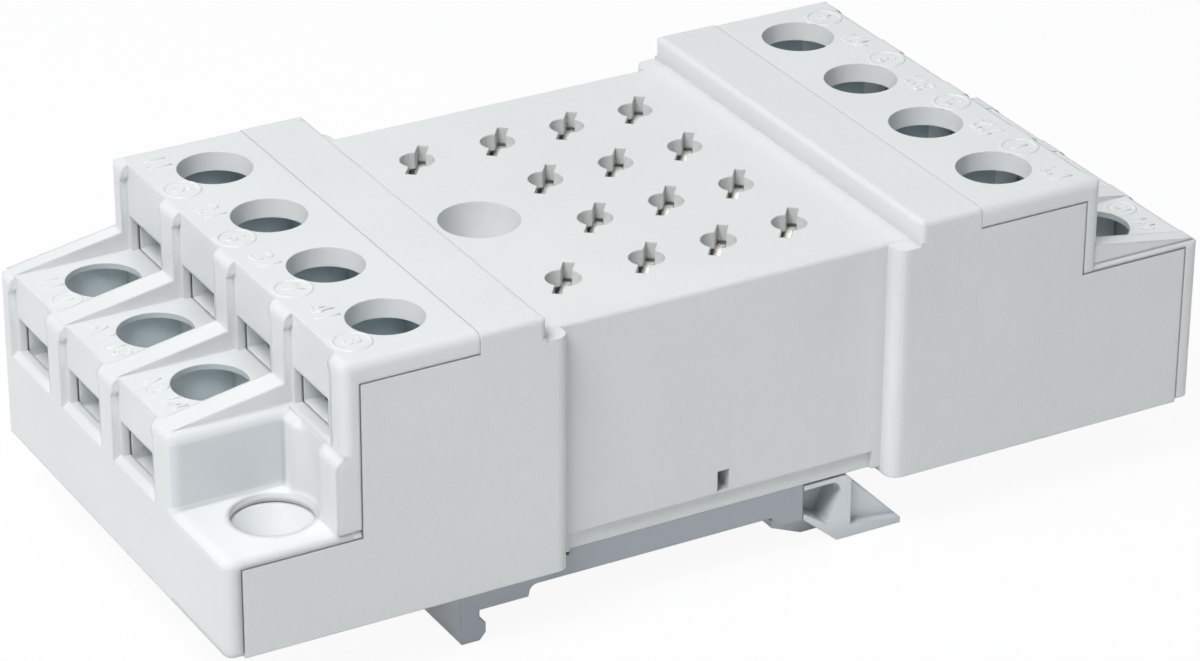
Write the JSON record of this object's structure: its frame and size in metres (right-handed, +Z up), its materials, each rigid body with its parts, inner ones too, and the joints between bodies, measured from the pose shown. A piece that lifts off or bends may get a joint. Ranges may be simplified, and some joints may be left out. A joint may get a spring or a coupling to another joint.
{
  "type": "relay socket",
  "caption": "Plug-in relay socket with screw clamps in two tiers at both ends and a sprung rail foot.",
  "frame": {"origin": "centre of the footprint, at the lowest point of the rail feet", "axes": "+X along the length towards the latch end, +Y across the width, +Z up out of the plug field"},
  "size_m": [0.1072, 0.0512, 0.034],
  "materials": {
    "housing_plastic": "matte",
    "cover_plastic": "satin",
    "foot_plastic": "satin",
    "spring_steel": "polished",
    "zinc_steel": "satin",
    "contact_brass": "satin"
  },
  "bodies": {
    "socket": {"housing": "housing_plastic", "cover_left": "cover_plastic", "cover_right": "cover_plastic", "base_plate": "foot_plastic", "latch_spring": "spring_steel", "contact_01": "contact_brass", "contact_02": "contact_brass", "contact_03": "contact_brass", "contact_04": "contact_brass", "contact_05": "contact_brass", "contact_06": "contact_brass", "contact_07": "contact_brass", "contact_08": "contact_brass", "contact_09": "contact_brass", "contact_10": "contact_brass", "contact_11": "contact_brass", "contact_12": "contact_brass", "contact_13": "contact_brass", "contact_14": "contact_brass"},
    "latch": {"rail_latch": "foot_plastic"},
    "plate_01": {"clamp_plate_01": "zinc_steel"},
    "screw_01": {"clamp_screw_01": "zinc_steel"},
    "plate_02": {"clamp_plate_02": "zinc_steel"},
    "screw_02": {"clamp_screw_02": "zinc_steel"},
    "plate_03": {"clamp_plate_03": "zinc_steel"},
    "screw_03": {"clamp_screw_03": "zinc_steel"},
    "plate_04": {"clamp_plate_04": "zinc_steel"},
    "screw_04": {"clamp_screw_04": "zinc_steel"},
    "plate_05": {"clamp_plate_05": "zinc_steel"},
    "screw_05": {"clamp_screw_05": "zinc_steel"},
    "plate_06": {"clamp_plate_06": "zinc_steel"},
    "screw_06": {"clamp_screw_06": "zinc_steel"},
    "plate_07": {"clamp_plate_07": "zinc_steel"},
    "screw_07": {"clamp_screw_07": "zinc_steel"},
    "plate_08": {"clamp_plate_08": "zinc_steel"},
    "screw_08": {"clamp_screw_08": "zinc_steel"},
    "plate_09": {"clamp_plate_09": "zinc_steel"},
    "screw_09": {"clamp_screw_09": "zinc_steel"},
    "plate_10": {"clamp_plate_10": "zinc_steel"},
    "screw_10": {"clamp_screw_10": "zinc_steel"},
    "plate_11": {"clamp_plate_11": "zinc_steel"},
    "screw_11": {"clamp_screw_11": "zinc_steel"},
    "plate_12": {"clamp_plate_12": "zinc_steel"},
    "screw_12": {"clamp_screw_12": "zinc_steel"},
    "plate_13": {"clamp_plate_13": "zinc_steel"},
    "screw_13": {"clamp_screw_13": "zinc_steel"},
    "plate_14": {"clamp_plate_14": "zinc_steel"},
    "screw_14": {"clamp_screw_14": "zinc_steel"}
  },
  "joints": [
    {"name": "rail_latch_slide", "type": "slide", "parent": "socket", "child": "latch", "axis": [1, 0, 0], "range_m": [0, 0.0023], "stiffness_N_per_m": 1500, "deforming": ["latch_spring"]},
    {"name": "clamp_travel_01", "type": "slide", "parent": "socket", "child": "plate_01", "axis": [0, 0, 1], "range_m": [-0.0018, 0.0016]},
    {"name": "screw_turn_01", "type": "hinge", "parent": "plate_01", "child": "screw_01", "pos_m": [-0.0334, 0.0183, 0.0277], "axis": [0, 0, 1], "range_deg": [-1081, 961]},
    {"name": "clamp_travel_02", "type": "slide", "parent": "socket", "child": "plate_02", "axis": [0, 0, 1], "range_m": [-0.0018, 0.0016]},
    {"name": "screw_turn_02", "type": "hinge", "parent": "plate_02", "child": "screw_02", "pos_m": [-0.0334, 0.0061, 0.0277], "axis": [0, 0, 1], "range_deg": [-1081, 961]},
    {"name": "clamp_travel_03", "type": "slide", "parent": "socket", "child": "plate_03", "axis": [0, 0, 1], "range_m": [-0.0018, 0.0016]},
    {"name": "screw_turn_03", "type": "hinge", "parent": "plate_03", "child": "screw_03", "pos_m": [-0.0334, -0.0061, 0.0277], "axis": [0, 0, 1], "range_deg": [-1081, 961]},
    {"name": "clamp_travel_04", "type": "slide", "parent": "socket", "child": "plate_04", "axis": [0, 0, 1], "range_m": [-0.0018, 0.0016]},
    {"name": "screw_turn_04", "type": "hinge", "parent": "plate_04", "child": "screw_04", "pos_m": [-0.0334, -0.0183, 0.0277], "axis": [0, 0, 1], "range_deg": [-1081, 961]},
    {"name": "clamp_travel_05", "type": "slide", "parent": "socket", "child": "plate_05", "axis": [0, 0, 1], "range_m": [-0.0018, 0.0016]},
    {"name": "screw_turn_05", "type": "hinge", "parent": "plate_05", "child": "screw_05", "pos_m": [-0.0457, 0.0183, 0.0188], "axis": [0, 0, 1], "range_deg": [-1081, 961]},
    {"name": "clamp_travel_06", "type": "slide", "parent": "socket", "child": "plate_06", "axis": [0, 0, 1], "range_m": [-0.0018, 0.0016]},
    {"name": "screw_turn_06", "type": "hinge", "parent": "plate_06", "child": "screw_06", "pos_m": [-0.0457, 0.0061, 0.0188], "axis": [0, 0, 1], "range_deg": [-1081, 961]},
    {"name": "clamp_travel_07", "type": "slide", "parent": "socket", "child": "plate_07", "axis": [0, 0, 1], "range_m": [-0.0018, 0.0016]},
    {"name": "screw_turn_07", "type": "hinge", "parent": "plate_07", "child": "screw_07", "pos_m": [-0.0457, -0.0061, 0.0188], "axis": [0, 0, 1], "range_deg": [-1081, 961]},
    {"name": "clamp_travel_08", "type": "slide", "parent": "socket", "child": "plate_08", "axis": [0, 0, 1], "range_m": [-0.0018, 0.0016]},
    {"name": "screw_turn_08", "type": "hinge", "parent": "plate_08", "child": "screw_08", "pos_m": [0.0334, -0.0183, 0.0277], "axis": [0, 0, 1], "range_deg": [-1081, 961]},
    {"name": "clamp_travel_09", "type": "slide", "parent": "socket", "child": "plate_09", "axis": [0, 0, 1], "range_m": [-0.0018, 0.0016]},
    {"name": "screw_turn_09", "type": "hinge", "parent": "plate_09", "child": "screw_09", "pos_m": [0.0334, -0.0061, 0.0277], "axis": [0, 0, 1], "range_deg": [-1081, 961]},
    {"name": "clamp_travel_10", "type": "slide", "parent": "socket", "child": "plate_10", "axis": [0, 0, 1], "range_m": [-0.0018, 0.0016]},
    {"name": "screw_turn_10", "type": "hinge", "parent": "plate_10", "child": "screw_10", "pos_m": [0.0334, 0.0061, 0.0277], "axis": [0, 0, 1], "range_deg": [-1081, 961]},
    {"name": "clamp_travel_11", "type": "slide", "parent": "socket", "child": "plate_11", "axis": [0, 0, 1], "range_m": [-0.0018, 0.0016]},
    {"name": "screw_turn_11", "type": "hinge", "parent": "plate_11", "child": "screw_11", "pos_m": [0.0334, 0.0183, 0.0277], "axis": [0, 0, 1], "range_deg": [-1081, 961]},
    {"name": "clamp_travel_12", "type": "slide", "parent": "socket", "child": "plate_12", "axis": [0, 0, 1], "range_m": [-0.0018, 0.0016]},
    {"name": "screw_turn_12", "type": "hinge", "parent": "plate_12", "child": "screw_12", "pos_m": [0.0457, -0.0183, 0.0188], "axis": [0, 0, 1], "range_deg": [-1081, 961]},
    {"name": "clamp_travel_13", "type": "slide", "parent": "socket", "child": "plate_13", "axis": [0, 0, 1], "range_m": [-0.0018, 0.0016]},
    {"name": "screw_turn_13", "type": "hinge", "parent": "plate_13", "child": "screw_13", "pos_m": [0.0457, -0.0061, 0.0188], "axis": [0, 0, 1], "range_deg": [-1081, 961]},
    {"name": "clamp_travel_14", "type": "slide", "parent": "socket", "child": "plate_14", "axis": [0, 0, 1], "range_m": [-0.0018, 0.0016]},
    {"name": "screw_turn_14", "type": "hinge", "parent": "plate_14", "child": "screw_14", "pos_m": [0.0457, 0.0061, 0.0188], "axis": [0, 0, 1], "range_deg": [-1081, 961]}
  ],
  "couplings": [
    {"joint": "screw_turn_01", "follows": "clamp_travel_01", "rad_per_m": 10472},
    {"joint": "screw_turn_02", "follows": "clamp_travel_02", "rad_per_m": 10472},
    {"joint": "screw_turn_03", "follows": "clamp_travel_03", "rad_per_m": 10472},
    {"joint": "screw_turn_04", "follows": "clamp_travel_04", "rad_per_m": 10472},
    {"joint": "screw_turn_05", "follows": "clamp_travel_05", "rad_per_m": 10472},
    {"joint": "screw_turn_06", "follows": "clamp_travel_06", "rad_per_m": 10472},
    {"joint": "screw_turn_07", "follows": "clamp_travel_07", "rad_per_m": 10472},
    {"joint": "screw_turn_08", "follows": "clamp_travel_08", "rad_per_m": 10472},
    {"joint": "screw_turn_09", "follows": "clamp_travel_09", "rad_per_m": 10472},
    {"joint": "screw_turn_10", "follows": "clamp_travel_10", "rad_per_m": 10472},
    {"joint": "screw_turn_11", "follows": "clamp_travel_11", "rad_per_m": 10472},
    {"joint": "screw_turn_12", "follows": "clamp_travel_12", "rad_per_m": 10472},
    {"joint": "screw_turn_13", "follows": "clamp_travel_13", "rad_per_m": 10472},
    {"joint": "screw_turn_14", "follows": "clamp_travel_14", "rad_per_m": 10472}
  ]
}
